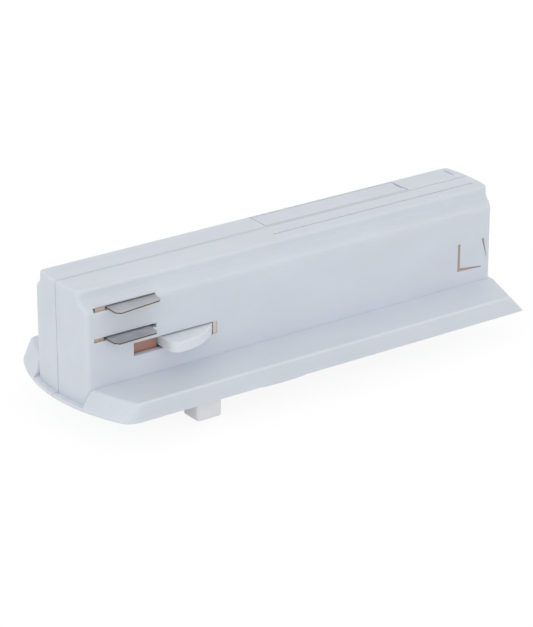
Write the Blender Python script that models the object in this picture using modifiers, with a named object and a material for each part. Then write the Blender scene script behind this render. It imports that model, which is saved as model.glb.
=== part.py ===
"""Track light adapter: a split moulded housing on a wide flange, with contact blades and locking
tabs that a lever under the flange draws in.

X runs along the housing, Y across it, Z up into the track. The origin is the middle of the housing
in the plane of the flange's upper face, where the adapter bears on the track's lips.
"""
import math

import bmesh
import bpy
from mathutils import Matrix, Vector

MM = 0.001

# Clearances
SEAM = 0.3 * MM
RUNNING = 0.35 * MM

# Housing
BODY_LENGTH = 125.0 * MM
BODY_WIDTH = 22.5 * MM
BODY_HEIGHT = 24.5 * MM
SHOULDER_STEP = 2.55 * MM
SHOULDER_DROP = 4.4 * MM
SHOULDER_RISE = 1.6 * MM
END_RADIUS = 50.0 * MM
BODY_CORNER = 1.4 * MM
SHOULDER_ROUND = 1.3 * MM
TOP_EDGE = 0.8 * MM
END_EDGE_SHARE = 0.35
WALL = 1.5 * MM

# Flange
FLANGE_WIDTH = 48.8 * MM
FLANGE_THICKNESS = 4.9 * MM
FLANGE_WEB = 2.6 * MM
FLANGE_RIM = 2.0 * MM
FLANGE_LEFT_LIP = 1.7 * MM
FOOT_DEPTH = 4.1 * MM
FOOT_BACK = 3.0 * MM
FLANGE_DRAFT = 2.6 * MM
FLANGE_RIGHT_SET = 0.7 * MM
FLANGE_CORNER = 4.5 * MM
FLANGE_TOP_CORNER = 1.0 * MM
FLANGE_RIGHT_CORNER = 0.6 * MM
FLANGE_EDGE = 0.35 * MM
RIGHT_CHAMFER = 4.65 * MM

# Contacts
BLADE_THICKNESS = 0.5 * MM
BLADE_PLAY = 0.27 * MM
BLADE_PROUD = 4.9 * MM
BLADE_TAIL = 5.2 * MM
BLADE_CLIP = 1.0 * MM
LOWER_BLADE_FROM_END = 6.5 * MM
LOWER_BLADE_WIDTH = 12.4 * MM
LOWER_BLADE_SKEW = 0.4 * MM
UPPER_BLADE_FROM_END = 7.1 * MM
UPPER_BLADE_WIDTH = 13.4 * MM
UPPER_BLADE_SKEW = 1.3 * MM
BLADE_BELOW_SHOULDER = 0.4 * MM
BLADE_ABOVE_FLOOR = 2.0 * MM
CONTACT_SLOT_FROM_END = 3.5 * MM
CONTACT_SLOT_LENGTH = 17.4 * MM
CARRIAGE_DEPTH = 4.2 * MM
CARRIAGE_FROM_END = 5.3 * MM
CARRIAGE_LENGTH = 11.8 * MM
CARRIAGE_HEADROOM = 1.6 * MM

# Lock
LOCK_FROM_END = 24.6 * MM
SHAFT_RADIUS = 3.0 * MM
TAB_REACH = 5.3 * MM
TAB_BACK = 2.3 * MM
TAB_CORNER = 2.4 * MM
TAB_END_DEG = 38.0
TAB_HUB = 6.4 * MM
TAB_THICKNESS = 2.65 * MM
TAB_EDGE = 0.35 * MM
TAB_LOW = 5.95 * MM
TAB_TURN_DEG = 72.0
LOCK_SLOT_BEHIND = 10.25 * MM
LOCK_SLOT_AHEAD = 13.75 * MM
STUB_WIDTH = 3.6 * MM
CRANK_RADIUS = 5.5 * MM
CRANK_THICKNESS = 1.0 * MM
CRANK_PIN = 0.8 * MM
ARM_THICKNESS = 1.5 * MM
ARM_WALL = 1.0 * MM

# Lever
LEVER_WIDTH = 7.0 * MM
LEVER_EDGE_SET = 2.2 * MM
LEVER_THICKNESS = 2.4 * MM
LEVER_YAW_DEG = 10.0
LEVER_HUB = 6.0 * MM
GRIP_DEPTH = 6.2 * MM
GRIP_HEIGHT = 5.2 * MM
GRIP_WIDTH = 7.1 * MM
GRIP_EDGE = 0.7 * MM
LEVER_SCREW_RADIUS = 1.2 * MM
LEVER_SCREW_HEAD = 3.2 * MM
LEVER_SCREW_HEAD_HEIGHT = 1.2 * MM
LEVER_SCREW_DEPTH = 6.0 * MM

# Inner frame
FRAME_THICKNESS = 0.8 * MM
FRAME_FROM_END = 2.8 * MM
FRAME_BEYOND_LOCK = 19.4 * MM
FRAME_WALL = 1.2 * MM
FRAME_RIB_LEFT = 6.8 * MM
FRAME_RIB_RIGHT = 4.0 * MM
APRON_START = 3.3 * MM
APRON_END = 11.2 * MM
APRON_THICKNESS = 1.0 * MM
APRON_BELOW_SLOT = 0.3 * MM
RIB_DEPTH = 1.4 * MM

# Spring tongue near the right end
TONGUE_FROM_END = 2.5 * MM
TONGUE_WIDTH = 9.6 * MM
TONGUE_LOW = 4.0 * MM
TONGUE_HIGH = 11.5 * MM
TONGUE_SLIT = 0.9 * MM
TONGUE_FOOT = 7.9 * MM
TONGUE_TAPER = 0.25 * MM
WEDGE_WIDTH = 0.8 * MM
WEDGE_SLANT = 1.8 * MM
WEDGE_LOW = 6.3 * MM

# Top of the housing
PANEL_MARGIN = 6.1 * MM
PANEL_INNER = 0.9 * MM
PANEL_EDGE_SET = 1.3 * MM
PANEL_THICKNESS = 0.7 * MM
PANEL_LEDGE = 0.8 * MM
PANEL_END_GAP = 0.6 * MM
PANEL_NOTCH = 3.0 * MM
MARK_FROM_END = 3.0 * MM
MARK_INNER = 2.8 * MM
MARK_LENGTH = 3.8 * MM
MARK_WIDTH = 0.7 * MM
GROOVE_FROM_PANEL = 1.9 * MM
GROOVE_FROM_END = 2.5 * MM
GROOVE_EDGE_SET = 3.8 * MM
GROOVE_WIDTH = 0.5 * MM
GROOVE_DEPTH = 0.7 * MM

# Supply
BOARD_FROM_LOCK = 32.9 * MM
BOARD_FROM_END = 3.5 * MM
BOARD_THICKNESS = 1.6 * MM
PART_SPACING = 1.4 * MM
TERMINAL_SIDE_SET = 1.2 * MM
TERMINAL_HEADROOM = 3.6 * MM
TERMINAL_COUNT = 4
TERMINAL_SCREW_SHARE = 0.24
TERMINAL_SCREW_HEIGHT = 3.0 * MM
TRANSFORMER_FROM_END = 6.5 * MM
TRANSFORMER_LENGTH = 15.0 * MM
TRANSFORMER_SIDE_SET = 0.2 * MM
TRANSFORMER_HEADROOM = 5.1 * MM
CAPACITOR_RADIUS_LARGE = 3.6 * MM
CAPACITOR_RADIUS_SMALL = 2.6 * MM
CAPACITOR_SMALL_HEADROOM = 8.1 * MM

# Luminaire nipple
NIPPLE_FROM_SELECTOR = 21.4 * MM
NIPPLE_RADIUS = 5.0 * MM
NIPPLE_BORE = 3.6 * MM
NIPPLE_LENGTH = 13.0 * MM
NIPPLE_TOP = 1.0 * MM
NUT_FLATS = 15.0 * MM
NUT_HEIGHT = 2.6 * MM

# Circuit selector
SELECTOR_FROM_LOCK = 30.5 * MM
SELECTOR_KNOB_RADIUS = 6.0 * MM
SELECTOR_KNOB_HEIGHT = 2.2 * MM
SELECTOR_BAR = 2.2 * MM
SELECTOR_SPINDLE = 2.0 * MM
SELECTOR_WIDTH = 15.0 * MM
SELECTOR_HEIGHT = 6.4 * MM

# Cover
COVER_SCREW_FROM_END = 18.5 * MM
COVER_SCREW_EDGE_SET = 7.4 * MM
COVER_SCREW_SHANK = 1.3 * MM
COVER_SCREW_HEAD = 2.5 * MM
COVER_SCREW_HEAD_HEIGHT = 0.9 * MM
COVER_SCREW_SKIN = 0.7 * MM
PAD_FROM_LOCK = 16.4 * MM
PAD_LENGTH = 15.8 * MM
PAD_HEIGHT = 0.45 * MM

ARC_STEPS = 10
CORNER_STEPS = 4
EDGE_STEPS = 3
ROUND_STEPS = 24

LEFT_END = -BODY_LENGTH / 2
RIGHT_END = BODY_LENGTH / 2
BODY_HALF = BODY_WIDTH / 2
TOP_HALF = BODY_HALF - SHOULDER_STEP
SHOULDER_LOW = BODY_HEIGHT - SHOULDER_DROP
SHOULDER_HIGH = SHOULDER_LOW + SHOULDER_RISE
FLANGE_HALF = FLANGE_WIDTH / 2
FLANGE_BOTTOM = -FLANGE_THICKNESS
FLANGE_LEFT = LEFT_END - FLANGE_LEFT_LIP
FLANGE_RIGHT = RIGHT_END - FLANGE_RIGHT_SET
COVER_TOP = -FLANGE_WEB - SEAM
INNER_HALF = BODY_HALF - WALL
INNER_TOP_HALF = TOP_HALF - WALL
WAIST = SHOULDER_LOW - WALL / 2
WAIST_TOP = WAIST + SHOULDER_RISE
ROOF = BODY_HEIGHT - WALL
LOCK_X = LEFT_END + LOCK_FROM_END
SELECTOR_X = LOCK_X + SELECTOR_FROM_LOCK
NIPPLE_X = SELECTOR_X + NIPPLE_FROM_SELECTOR
COVER_SCREW_X = RIGHT_END - COVER_SCREW_FROM_END
COVER_SCREW_Y = FLANGE_HALF - COVER_SCREW_EDGE_SET
PAD_LEFT = LOCK_X + PAD_FROM_LOCK
PAD_RIGHT = PAD_LEFT + PAD_LENGTH
LEVER_REACH = FLANGE_HALF - LEVER_EDGE_SET
TAB_TIP = BODY_HALF + TAB_REACH
TAB_TOP = TAB_LOW + TAB_THICKNESS
TRAVEL = BLADE_PROUD + 0.1 * MM
CRANK_THROW = TRAVEL / 2 / math.sin(math.radians(TAB_TURN_DEG / 2))
FRAME_Z = TAB_TOP + RUNNING
FRAME_TOP = FRAME_Z + FRAME_THICKNESS
CRANK_LOW = FRAME_TOP + RUNNING
CRANK_TOP = CRANK_LOW + CRANK_THICKNESS
CARRIAGE_LOW = FRAME_TOP + RUNNING
CARRIAGE_TOP = ROOF - CARRIAGE_HEADROOM
BLADE_LEVELS = (CARRIAGE_LOW + BLADE_ABOVE_FLOOR, SHOULDER_LOW - BLADE_BELOW_SHOULDER)
FAR_ARM_Z = BLADE_LEVELS[0] + BLADE_THICKNESS / 2 + RUNNING
NEAR_ARM_Z = FAR_ARM_Z + ARM_THICKNESS + RUNNING
CONTACT_SLOT_LEFT = LEFT_END + CONTACT_SLOT_FROM_END
CONTACT_SLOT_RIGHT = CONTACT_SLOT_LEFT + CONTACT_SLOT_LENGTH
CONTACT_SLOT_HEIGHT = BLADE_THICKNESS + 2 * BLADE_PLAY
FRAME_LEFT = LEFT_END + FRAME_FROM_END
FRAME_RIGHT = LOCK_X + FRAME_BEYOND_LOCK
FRAME_GUIDE_TOP = BLADE_LEVELS[1] - 2 * CONTACT_SLOT_HEIGHT
TONGUE_LEFT = RIGHT_END - TONGUE_FROM_END - TONGUE_WIDTH
CARRIAGE_OUTER = INNER_HALF - SEAM
CARRIAGE_INNER = CARRIAGE_OUTER - CARRIAGE_DEPTH
GUIDE_HALF = CARRIAGE_OUTER - 0.05 * MM
CARRIAGE_LEFT = LEFT_END + CARRIAGE_FROM_END
CARRIAGE_RIGHT = CARRIAGE_LEFT + CARRIAGE_LENGTH
LEVER_TOP = FLANGE_BOTTOM - RUNNING
BOARD_Z = COVER_TOP + SEAM + SELECTOR_HEIGHT + RUNNING
BOARD_TOP = BOARD_Z + BOARD_THICKNESS
BOARD_SEAT = BOARD_TOP + SEAM
BOARD_LEFT = LOCK_X + BOARD_FROM_LOCK
BOARD_RIGHT = RIGHT_END - BOARD_FROM_END
CAPACITOR_X = BOARD_LEFT + CAPACITOR_RADIUS_LARGE + PART_SPACING
TERMINAL_LEFT = CAPACITOR_X + CAPACITOR_RADIUS_LARGE + PART_SPACING
TRANSFORMER_RIGHT = RIGHT_END - TRANSFORMER_FROM_END
TRANSFORMER_LEFT = TRANSFORMER_RIGHT - TRANSFORMER_LENGTH
TERMINAL_RIGHT = TRANSFORMER_LEFT - 3 * PART_SPACING
TERMINAL_PITCH = (TERMINAL_RIGHT - TERMINAL_LEFT) / TERMINAL_COUNT
TERMINAL_SCREW = TERMINAL_SCREW_SHARE * TERMINAL_PITCH
TERMINAL_TOP = ROOF - TERMINAL_HEADROOM
PANEL_LEFT = TERMINAL_LEFT - PANEL_MARGIN
PANEL_RIGHT = TERMINAL_RIGHT + PANEL_MARGIN
PANEL_OUTER = TOP_HALF - PANEL_EDGE_SET
GROOVE_LEFT = PANEL_LEFT - GROOVE_FROM_PANEL
GROOVE_RIGHT = RIGHT_END - GROOVE_FROM_END
GROOVE_Y = GROOVE_EDGE_SET - TOP_HALF

WHITE = (0.90, 0.905, 0.915)
CREAM = (0.86, 0.80, 0.76)
STEEL = (0.62, 0.61, 0.60)
LEVER_WHITE = (0.88, 0.885, 0.895)
BLACK = (0.03, 0.03, 0.035)
GREEN = (0.05, 0.22, 0.10)


def fresh_collection(name):
    """Make a collection in the scene."""
    group = bpy.data.collections.new(name)
    bpy.context.scene.collection.children.link(group)
    return group


def material(name, colour, roughness, metallic=0.0):
    """Make a plain surface material."""
    made = bpy.data.materials.new(name)
    made.use_nodes = True
    shader = made.node_tree.nodes["Principled BSDF"]
    shader.inputs["Base Color"].default_value = (*colour, 1.0)
    shader.inputs["Roughness"].default_value = roughness
    shader.inputs["Metallic"].default_value = metallic
    return made


def add_object(name, mesh, location=(0, 0, 0)):
    """Put a mesh in the cutters' collection; finish() moves what is a real piece."""
    thing = bpy.data.objects.new(name, mesh)
    thing.location = location
    cutters.objects.link(thing)
    thing.hide_render = True
    thing.display_type = "WIRE"
    return thing


def finish(thing, surface, parent=None):
    """Turn a shape into a piece of the adapter, with its own material."""
    cutters.objects.unlink(thing)
    parts.objects.link(thing)
    thing.hide_render = False
    thing.display_type = "TEXTURED"
    thing.data.materials.clear()
    thing.data.materials.append(material(thing.name, *surface))
    if parent is not None:
        thing.parent = parent
        thing.location = thing.location - parent.location
    return thing


def smooth(thing, angle=35.0):
    """Shade a round piece smooth, with its edges kept sharp."""
    thing.data.shade_smooth()
    thing.data.set_sharp_from_angle(angle=math.radians(angle))
    return thing


def boolean(target, other, operation="DIFFERENCE"):
    """Cut or join one shape with another."""
    step = target.modifiers.new(other.name, "BOOLEAN")
    step.operation = operation
    step.solver = "EXACT"
    step.object = other
    return target


def join(target, other):
    """Union another shape into the target."""
    return boolean(target, other, "UNION")


def mesh_from(work, name):
    """Write a bmesh to a new mesh."""
    bmesh.ops.recalc_face_normals(work, faces=work.faces)
    mesh = bpy.data.meshes.new(name)
    work.to_mesh(mesh)
    work.free()
    return mesh


def box(name, low, high):
    """Block between two corners, its origin at its centre."""
    low = Vector(low)
    high = Vector(high)
    size = high - low
    work = bmesh.new()
    bmesh.ops.create_cube(work, size=1.0)
    bmesh.ops.scale(work, vec=size, verts=work.verts)
    return add_object(name, mesh_from(work, name), (low + high) / 2)


def rounded_box(name, low, high, radius):
    """Block whose edges are rounded."""
    thing = box(name, low, high)
    bevel = thing.modifiers.new("edges", "BEVEL")
    bevel.width = radius
    bevel.segments = 2
    return thing


def cylinder(name, radius, low, high, x=0.0, y=0.0, steps=ROUND_STEPS):
    """Upright cylinder between two heights."""
    work = bmesh.new()
    bmesh.ops.create_cone(work, cap_ends=True, segments=steps, radius1=radius, radius2=radius,
                          depth=high - low)
    return add_object(name, mesh_from(work, name), (x, y, (low + high) / 2))


def prism(name, outline, low, high):
    """Flat outline, given as points in X and Y, extruded between two heights."""
    curve = bpy.data.curves.new(name, "CURVE")
    curve.dimensions = "2D"
    curve.fill_mode = "BOTH"
    curve.extrude = (high - low) / 2
    spline = curve.splines.new("POLY")
    spline.points.add(len(outline) - 1)
    for point, (x, y) in zip(spline.points, outline):
        point.co = (x, y, 0.0, 1.0)
    spline.use_cyclic_u = True
    guide = bpy.data.objects.new(name + "_outline", curve)
    guide.location = (0, 0, (low + high) / 2)
    cutters.objects.link(guide)
    bpy.context.view_layer.update()
    evaluated = guide.evaluated_get(bpy.context.evaluated_depsgraph_get())
    mesh = bpy.data.meshes.new_from_object(evaluated)
    place = guide.matrix_world.copy()
    bpy.data.objects.remove(guide)
    work = bmesh.new()
    work.from_mesh(mesh)
    bmesh.ops.remove_doubles(work, verts=work.verts, dist=0.001 * MM)
    bpy.data.meshes.remove(mesh)
    thing = add_object(name, mesh_from(work, name))
    thing.matrix_world = place
    return thing


def turned(name, profile, x=0.0, y=0.0, steps=ROUND_STEPS, closed=False):
    """Profile of radius and height, top to bottom, turned about a vertical axis."""
    mesh = bpy.data.meshes.new(name)
    edges = [(i, i + 1) for i in range(len(profile) - 1)]
    if closed:
        edges.append((len(profile) - 1, 0))
    mesh.from_pydata([(radius, 0.0, z) for radius, z in profile], edges, [])
    thing = add_object(name, mesh, (x, y, 0.0))
    screw = thing.modifiers.new("turn", "SCREW")
    screw.axis = "Z"
    screw.steps = steps
    screw.render_steps = steps
    screw.use_merge_vertices = True
    screw.merge_threshold = 0.002 * MM
    screw.use_smooth_shade = True
    return thing


def end_arc(apex, half_width, end_radius, corner, start):
    """Left end of a plan outline: from the seam along the bowed end and round the near corner."""
    centre = apex + end_radius
    swing = math.asin((half_width - corner) / (end_radius - corner))
    first = math.asin(start / end_radius)
    points = []
    for i in range(ARC_STEPS + 1):
        angle = first + (swing - first) * i / ARC_STEPS
        points.append((centre - end_radius * math.cos(angle), -end_radius * math.sin(angle)))
    corner_x = centre - (end_radius - corner) * math.cos(swing)
    corner_y = -(half_width - corner)
    for i in range(1, CORNER_STEPS + 1):
        angle = swing + (math.pi / 2 - swing) * i / CORNER_STEPS
        points.append((corner_x - corner * math.cos(angle), corner_y - corner * math.sin(angle)))
    return points


def mirrored_x(points):
    """The same points at the other end, in running order."""
    return [(-x, y) for x, y in reversed(points)]


def body_outline(half_width, inset, start):
    """Near half of the housing's plan at one height."""
    corner = max(BODY_CORNER - inset, 0.3 * MM)
    left = end_arc(inset - BODY_LENGTH / 2, half_width, END_RADIUS - inset, corner, start)
    return left + mirrored_x(left)


def flange_outline(inset, start, draft=0.0):
    """Near half of the flange's plan: bowed left end, set back by its draft, square right end."""
    half = FLANGE_HALF - inset
    corner = FLANGE_CORNER - inset / 2 - (FLANGE_CORNER - FLANGE_TOP_CORNER) * draft / FLANGE_DRAFT
    right_corner = FLANGE_RIGHT_CORNER + 1.8 * inset
    left = end_arc(FLANGE_LEFT + inset + draft, half, END_RADIUS - inset, corner, start)
    right_x = FLANGE_RIGHT - inset
    right = []
    for i in range(CORNER_STEPS + 1):
        angle = math.pi / 2 * i / CORNER_STEPS
        right.append((right_x - right_corner * (1 - math.sin(angle)),
                      -half + right_corner * (1 - math.cos(angle))))
    return left + right + [(right_x, -start)]


def whole(outline):
    """Close a near half outline, which starts and ends at y = 0, with its mirror image."""
    return outline + [(x, -y) for x, y in reversed(outline[1:-1])]


def loft(name, sections, side=-1):
    """Skin through plan outlines at rising heights; side +1 mirrors it to the far half."""
    work = bmesh.new()
    loops = []
    for height, outline in sections:
        loop = [work.verts.new((x, y if side < 0 else -y, height)) for x, y in outline]
        loops.append(loop)
    for lower, upper in zip(loops, loops[1:]):
        for i in range(len(lower)):
            j = (i + 1) % len(lower)
            work.faces.new((lower[i], lower[j], upper[j], upper[i]))
    work.faces.new(loops[0])
    work.faces.new(loops[-1])
    return add_object(name, mesh_from(work, name))


def chamfer_right(thing, side):
    """Cut the flange's upper right corner along the slanted plane that meets the housing's foot."""
    foot = Vector((FLANGE_RIGHT, side * BODY_HALF, 0.0))
    low = Vector((FLANGE_RIGHT, side * FLANGE_HALF, FLANGE_BOTTOM))
    back = Vector((FLANGE_RIGHT - RIGHT_CHAMFER, side * FLANGE_HALF, 0.0))
    outward = (low - foot).cross(back - foot)
    if outward.z < 0:
        outward.negate()
    outward.normalize()
    place = Matrix.Translation(thing.location)
    work = bmesh.new()
    work.from_mesh(thing.data)
    bmesh.ops.transform(work, matrix=place, verts=work.verts)
    everything = work.verts[:] + work.edges[:] + work.faces[:]
    cut = bmesh.ops.bisect_plane(work, geom=everything, plane_co=foot, plane_no=outward,
                                 clear_outer=True, dist=0.001 * MM)
    edges = [item for item in cut["geom_cut"] if isinstance(item, bmesh.types.BMEdge)]
    bmesh.ops.edgenet_fill(work, edges=edges)
    bmesh.ops.transform(work, matrix=place.inverted(), verts=work.verts)
    bmesh.ops.recalc_face_normals(work, faces=work.faces)
    work.to_mesh(thing.data)
    work.free()
    return thing


def mirror_span(side, inner, outer):
    """Low and high Y of a span given by its distances from the centre plane."""
    return sorted((side * inner, side * outer))


def rounded_corner(before, corner, after, length):
    """Points of a soft corner whose curve starts and ends the given length from it."""
    first = corner + (before - corner).normalized() * length
    last = corner + (after - corner).normalized() * length
    points = []
    for i in range(EDGE_STEPS + 1):
        share = i / EDGE_STEPS
        points.append(first.lerp(corner, share).lerp(corner.lerp(last, share), share))
    return points


def body_sections(start):
    """Outer sections of the housing, from the flange's underside to the top."""
    sections = [(FLANGE_BOTTOM, body_outline(BODY_HALF, 0.0, start))]
    wall = Vector((BODY_HALF, FLANGE_BOTTOM))
    low = Vector((BODY_HALF, SHOULDER_LOW))
    high = Vector((TOP_HALF, SHOULDER_HIGH))
    top = Vector((TOP_HALF, BODY_HEIGHT))
    for before, corner, after in ((wall, low, high), (low, high, top)):
        for half_width, height in rounded_corner(before, corner, after, SHOULDER_ROUND):
            sections.append((height, body_outline(half_width, 0.0, start)))
    for i in range(EDGE_STEPS + 1):
        angle = math.pi / 2 * i / EDGE_STEPS
        inset = TOP_EDGE * (1 - math.cos(angle))
        height = BODY_HEIGHT - TOP_EDGE * (1 - math.sin(angle))
        sections.append((height, body_outline(TOP_HALF - inset, inset * END_EDGE_SHARE, start)))
    return sections


def cavity():
    """Hollow of the housing, open at the bottom, narrower above the shoulder."""
    low = -FLANGE_WEB - 0.1 * MM
    sections = [(low, INNER_HALF), (WAIST, INNER_HALF), (WAIST_TOP, INNER_TOP_HALF), (ROOF, INNER_TOP_HALF)]
    return loft("cavity", [(z, whole(body_outline(half, WALL, 0.0))) for z, half in sections])


def flange_half(side):
    """Half of the flange, its left end sloping, and cut flush below the housing's end."""
    foot = FOOT_DEPTH + 0.1 * MM
    below_edge = FLANGE_DRAFT * (1 - FLANGE_EDGE / foot)
    sections = [
        (FLANGE_BOTTOM, flange_outline(0.0, SEAM / 2)),
        (-foot, flange_outline(0.0, SEAM / 2)),
        (-FLANGE_EDGE, flange_outline(0.0, SEAM / 2, below_edge)),
        (0.0, flange_outline(FLANGE_EDGE, SEAM / 2, FLANGE_DRAFT)),
    ]
    flange = chamfer_right(loft("flange", sections, side), side)
    y_low, y_high = mirror_span(side, -1.0 * MM, BODY_HALF)
    return boolean(flange, box("foot", (FLANGE_LEFT - 1.0 * MM, y_low, -FOOT_DEPTH),
                               (LEFT_END + FOOT_BACK, y_high, 1.0 * MM)))


def wall_slot(name, side, left, right, low, high):
    """Straight slot through one side wall, and through the shoulder's slope where it lies there."""
    y_low, y_high = mirror_span(side, INNER_TOP_HALF - SEAM, BODY_HALF + 1.0 * MM)
    return box(name, (left, y_low, low), (right, y_high, high))


def prism_y(name, outline, y_low, y_high):
    """Outline in X and Z run along Y."""
    thing = prism(name, outline, 0.0, y_high - y_low)
    thing.location = (0, 0, 0)
    middle = (y_low + y_high) / 2
    for vertex in thing.data.vertices:
        x, z, along = vertex.co
        vertex.co = (x, middle - along, z)
    return thing


def tongue_slits(side):
    """L-shaped slit with a tapering foot, and a slanted wedge, that free the spring tongue."""
    left = TONGUE_LEFT
    right = TONGUE_LEFT + TONGUE_WIDTH
    foot = left + TONGUE_FOOT
    tip = TONGUE_LOW - TONGUE_TAPER
    span = mirror_span(side, INNER_TOP_HALF - SEAM, BODY_HALF + 1.0 * MM)
    slits = prism_y("tongue_slit", [
        (left, TONGUE_LOW), (foot, tip), (foot, tip + TONGUE_TAPER),
        (left + TONGUE_SLIT, TONGUE_LOW + TONGUE_SLIT), (left + TONGUE_SLIT, TONGUE_HIGH),
        (left, TONGUE_HIGH)], *span)
    wedge = prism_y("tongue_wedge", [
        (right - WEDGE_SLANT, TONGUE_HIGH), (right - WEDGE_SLANT + WEDGE_WIDTH, TONGUE_HIGH),
        (right, WEDGE_LOW), (right - TONGUE_TAPER / 2, WEDGE_LOW)], *span)
    return slits, wedge


def rib(name, side, left, right, top):
    """Ledge on the inside of one side wall, its top at the given height."""
    y_low, y_high = mirror_span(side, INNER_HALF - RIB_DEPTH, INNER_HALF + WALL / 2)
    return box(name, (left, y_low, top - RIB_DEPTH), (right, y_high, top))


def grip_pad():
    """Low rounded pad under the near edge of the flange."""
    points = [(PAD_RIGHT, FLANGE_BOTTOM + PAD_HEIGHT), (PAD_LEFT, FLANGE_BOTTOM + PAD_HEIGHT)]
    for i in range(ARC_STEPS + 1):
        share = i / ARC_STEPS
        points.append((PAD_LEFT + PAD_LENGTH * share,
                       FLANGE_BOTTOM - PAD_HEIGHT * math.sin(math.pi * share) ** 0.5))
    return prism_y("grip_pad", points, -FLANGE_HALF + FLANGE_EDGE, -FLANGE_HALF + FLANGE_RIM - 0.2 * MM)


def screw_places():
    """Plan positions of the four cover screws."""
    return [(x, y) for x in (-COVER_SCREW_X, COVER_SCREW_X) for y in (-COVER_SCREW_Y, COVER_SCREW_Y)]


def housing_half(name, side):
    """One half of the moulded shell with its half of the flange."""
    shell = loft(name, body_sections(SEAM / 2), side)
    join(shell, flange_half(side))
    boolean(shell, hollow)
    boolean(shell, cover_recess)
    for level, z in enumerate(BLADE_LEVELS):
        half = CONTACT_SLOT_HEIGHT / 2
        boolean(shell, wall_slot(f"contact_slot_{level}", side, CONTACT_SLOT_LEFT, CONTACT_SLOT_RIGHT,
                                 z - half, z + half))
    left, right = LOCK_SLOT_BEHIND, LOCK_SLOT_AHEAD
    if side > 0:
        left, right = right, left
    boolean(shell, wall_slot("lock_slot", side, LOCK_X - left, LOCK_X + right,
                             TAB_LOW - RUNNING, TAB_TOP + RUNNING))
    for slit in tongue_slits(side):
        boolean(shell, slit)
    join(shell, rib("board_rib", side, BOARD_LEFT, TONGUE_LEFT - 2 * SEAM, BOARD_Z - SEAM))
    join(shell, rib("frame_rib_left", side, FRAME_LEFT, FRAME_LEFT + FRAME_RIB_LEFT, FRAME_Z - SEAM))
    join(shell, rib("frame_rib_right", side, FRAME_RIGHT - FRAME_RIB_RIGHT, FRAME_RIGHT, FRAME_Z - SEAM))
    for x, y in screw_places():
        if y * side > 0:
            boolean(shell, cylinder("screw_hole", COVER_SCREW_SHANK + SEAM, -FLANGE_WEB - 1.0 * MM,
                                    -COVER_SCREW_SKIN, x, y, 16))
    return shell


def housing_near():
    """Near half, with the long groove in its top and the pad under its edge."""
    shell = housing_half("housing_near", -1)
    boolean(shell, box("groove", (GROOVE_LEFT, GROOVE_Y - GROOVE_WIDTH / 2, BODY_HEIGHT - GROOVE_DEPTH),
                       (GROOVE_RIGHT, GROOVE_Y + GROOVE_WIDTH / 2, BODY_HEIGHT + 1.0 * MM)))
    join(shell, grip_pad())
    return shell


def housing_far():
    """Far half, with the rebate and opening for the terminal cover."""
    shell = housing_half("housing_far", 1)
    floor = BODY_HEIGHT - PANEL_THICKNESS - SEAM
    boolean(shell, box("panel_rebate", (PANEL_LEFT - SEAM, PANEL_INNER - SEAM, floor),
                       (PANEL_RIGHT + PANEL_END_GAP, PANEL_OUTER + SEAM, BODY_HEIGHT + 1.0 * MM)))
    mark = RIGHT_END - MARK_FROM_END
    boolean(shell, box("end_mark", (mark, MARK_INNER, BODY_HEIGHT - GROOVE_DEPTH),
                       (mark + MARK_WIDTH, MARK_INNER + MARK_LENGTH, BODY_HEIGHT + 1.0 * MM)))
    boolean(shell, box("panel_opening",
                       (PANEL_LEFT + PANEL_LEDGE, PANEL_INNER + PANEL_LEDGE, ROOF - 1.0 * MM),
                       (PANEL_RIGHT - PANEL_LEDGE, PANEL_OUTER - PANEL_LEDGE, floor + 0.5 * MM)))
    return shell


def terminal_cover():
    """Flat panel over the terminals, with a notch for a screwdriver at its right end."""
    low = BODY_HEIGHT - PANEL_THICKNESS
    panel = box("terminal_cover", (PANEL_LEFT, PANEL_INNER, low), (PANEL_RIGHT, PANEL_OUTER, BODY_HEIGHT))
    middle = (PANEL_INNER + PANEL_OUTER) / 2
    boolean(panel, box("panel_notch", (PANEL_RIGHT - 0.4 * MM, middle - PANEL_NOTCH / 2, low - 1.0 * MM),
                       (PANEL_RIGHT + 1.0 * MM, middle + PANEL_NOTCH / 2, BODY_HEIGHT + 1.0 * MM)))
    return panel


def bottom_cover():
    """Plate let into the flange, with holes for shaft, selector, nipple and screws."""
    plate = prism("bottom_cover", whole(flange_outline(FLANGE_RIM + SEAM, 0.0)), FLANGE_BOTTOM, COVER_TOP)
    low = FLANGE_BOTTOM - 1.0 * MM
    high = COVER_TOP + 1.0 * MM
    boolean(plate, cylinder("shaft_hole", SHAFT_RADIUS + RUNNING, low, high, LOCK_X))
    boolean(plate, cylinder("spindle_hole", SELECTOR_SPINDLE + RUNNING, low, high, SELECTOR_X))
    boolean(plate, cylinder("nipple_hole", NIPPLE_RADIUS + SEAM, low, high, NIPPLE_X))
    for x, y in screw_places():
        boolean(plate, cylinder("cover_hole", COVER_SCREW_SHANK + SEAM, low, high, x, y, 16))
        boolean(plate, cylinder("head_seat", COVER_SCREW_HEAD + SEAM, low,
                                FLANGE_BOTTOM + COVER_SCREW_HEAD_HEIGHT + SEAM, x, y, 16))
    return plate


def cover_screw(index, x, y):
    """Flat-headed screw from below with a cross recess."""
    low = FLANGE_BOTTOM
    neck = low + COVER_SCREW_HEAD_HEIGHT
    tip = -COVER_SCREW_SKIN - SEAM
    profile = [(0.0, tip), (COVER_SCREW_SHANK, tip), (COVER_SCREW_SHANK, neck),
               (COVER_SCREW_HEAD, neck), (COVER_SCREW_HEAD, low), (0.0, low)]
    screw = turned(f"cover_screw_{index}", profile, x, y, 16)
    return cross_recess(screw, x, y, low, 0.55 * MM, COVER_SCREW_HEAD * 0.6)


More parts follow.
